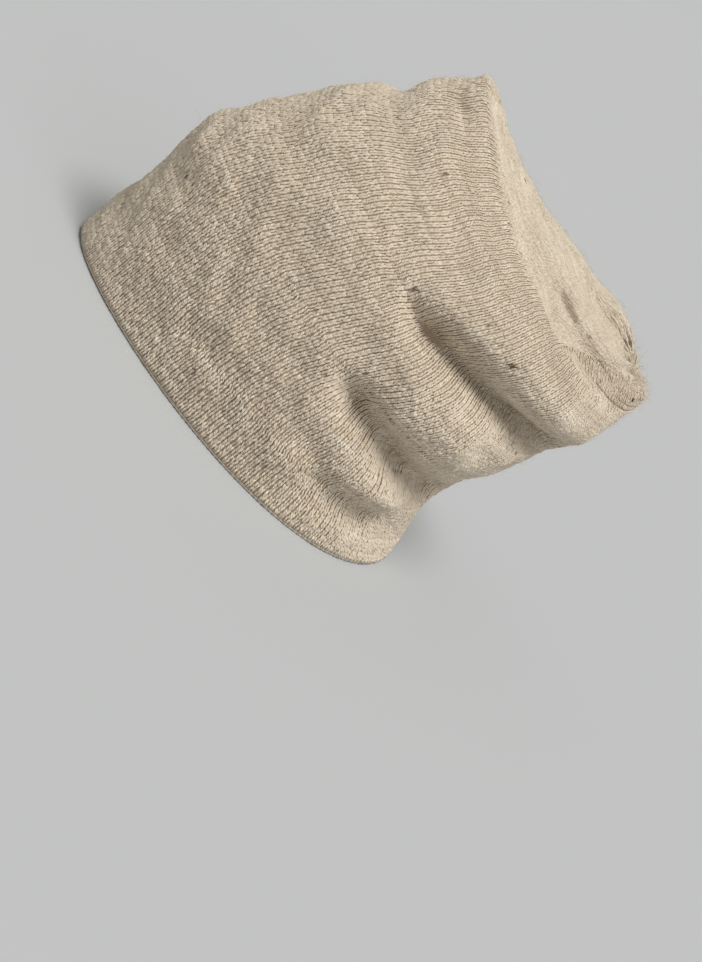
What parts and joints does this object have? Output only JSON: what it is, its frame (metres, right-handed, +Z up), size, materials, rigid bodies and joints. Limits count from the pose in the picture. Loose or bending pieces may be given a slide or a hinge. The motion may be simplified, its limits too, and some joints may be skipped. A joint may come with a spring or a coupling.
{
  "type": "lined knit cap",
  "caption": "Slouchy tweed-wool knit cap, a hollow knitted tube gathered at the crown over a smooth inner lining, for wearing on the head.",
  "frame": {"origin": "centre of the cap's footprint at the level its edge stands on", "axes": "+Z up through the crown, -Y the forehead side, +X the wearer's left"},
  "size_m": [0.1548, 0.2207, 0.1793],
  "materials": {
    "tweed_wool": "plain-knit undyed tweed wool, matt and slightly hairy",
    "jersey": "fine smooth jersey, matt"
  },
  "bodies": {
    "root": {"knit_shell": "tweed_wool", "lining": "jersey"}
  },
  "joints": []
}
